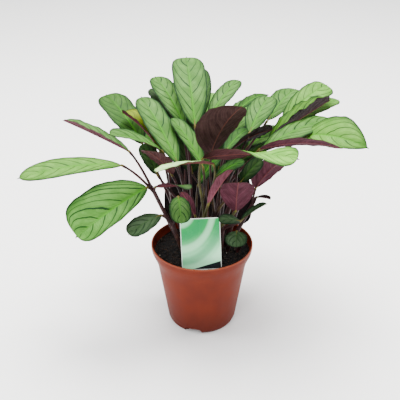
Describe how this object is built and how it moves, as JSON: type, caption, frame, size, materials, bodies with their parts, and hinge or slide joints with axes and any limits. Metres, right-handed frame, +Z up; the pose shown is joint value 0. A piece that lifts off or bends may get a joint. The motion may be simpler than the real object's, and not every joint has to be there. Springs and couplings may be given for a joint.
{
  "type": "potted houseplant",
  "caption": "Bushy houseplant: oblong striped leaves on slender stalks, in moist peat in a round tapered nursery pot with a plain upright plant label.",
  "frame": {"origin": "centre of the pot's underside, where it rests on the table", "axes": "+Z up, -Y towards the side that carries the plant label, +X to the right of a viewer who faces the label"},
  "size_m": [0.3677, 0.261, 0.2979],
  "materials": {
    "pot": "satin terracotta-coloured plastic",
    "soil": "moist dark peat, matte",
    "label": "glossy card with a plain green wash",
    "leaf": "satin green blades with purple undersides and brown-purple stalks"
  },
  "bodies": {
    "root": {"pot": "pot", "soil": "soil", "label": "label", "stem_back_left": "leaf", "stem_back_mid": "leaf", "stem_back_right": "leaf", "stem_crown": "leaf", "stem_front": "leaf", "stem_front_low": "leaf", "stem_left_back": "leaf", "stem_left_branch": "leaf", "stem_left_low": "leaf", "stem_left_mid": "leaf", "stem_mid": "leaf", "stem_mid_back": "leaf", "stem_right_back": "leaf", "stem_right_branch": "leaf", "stem_right_fan": "leaf", "stem_right_low": "leaf", "stem_right_mid": "leaf", "stem_right_reach": "leaf", "stem_right_small": "leaf", "stem_right_top": "leaf"}
  },
  "joints": []
}
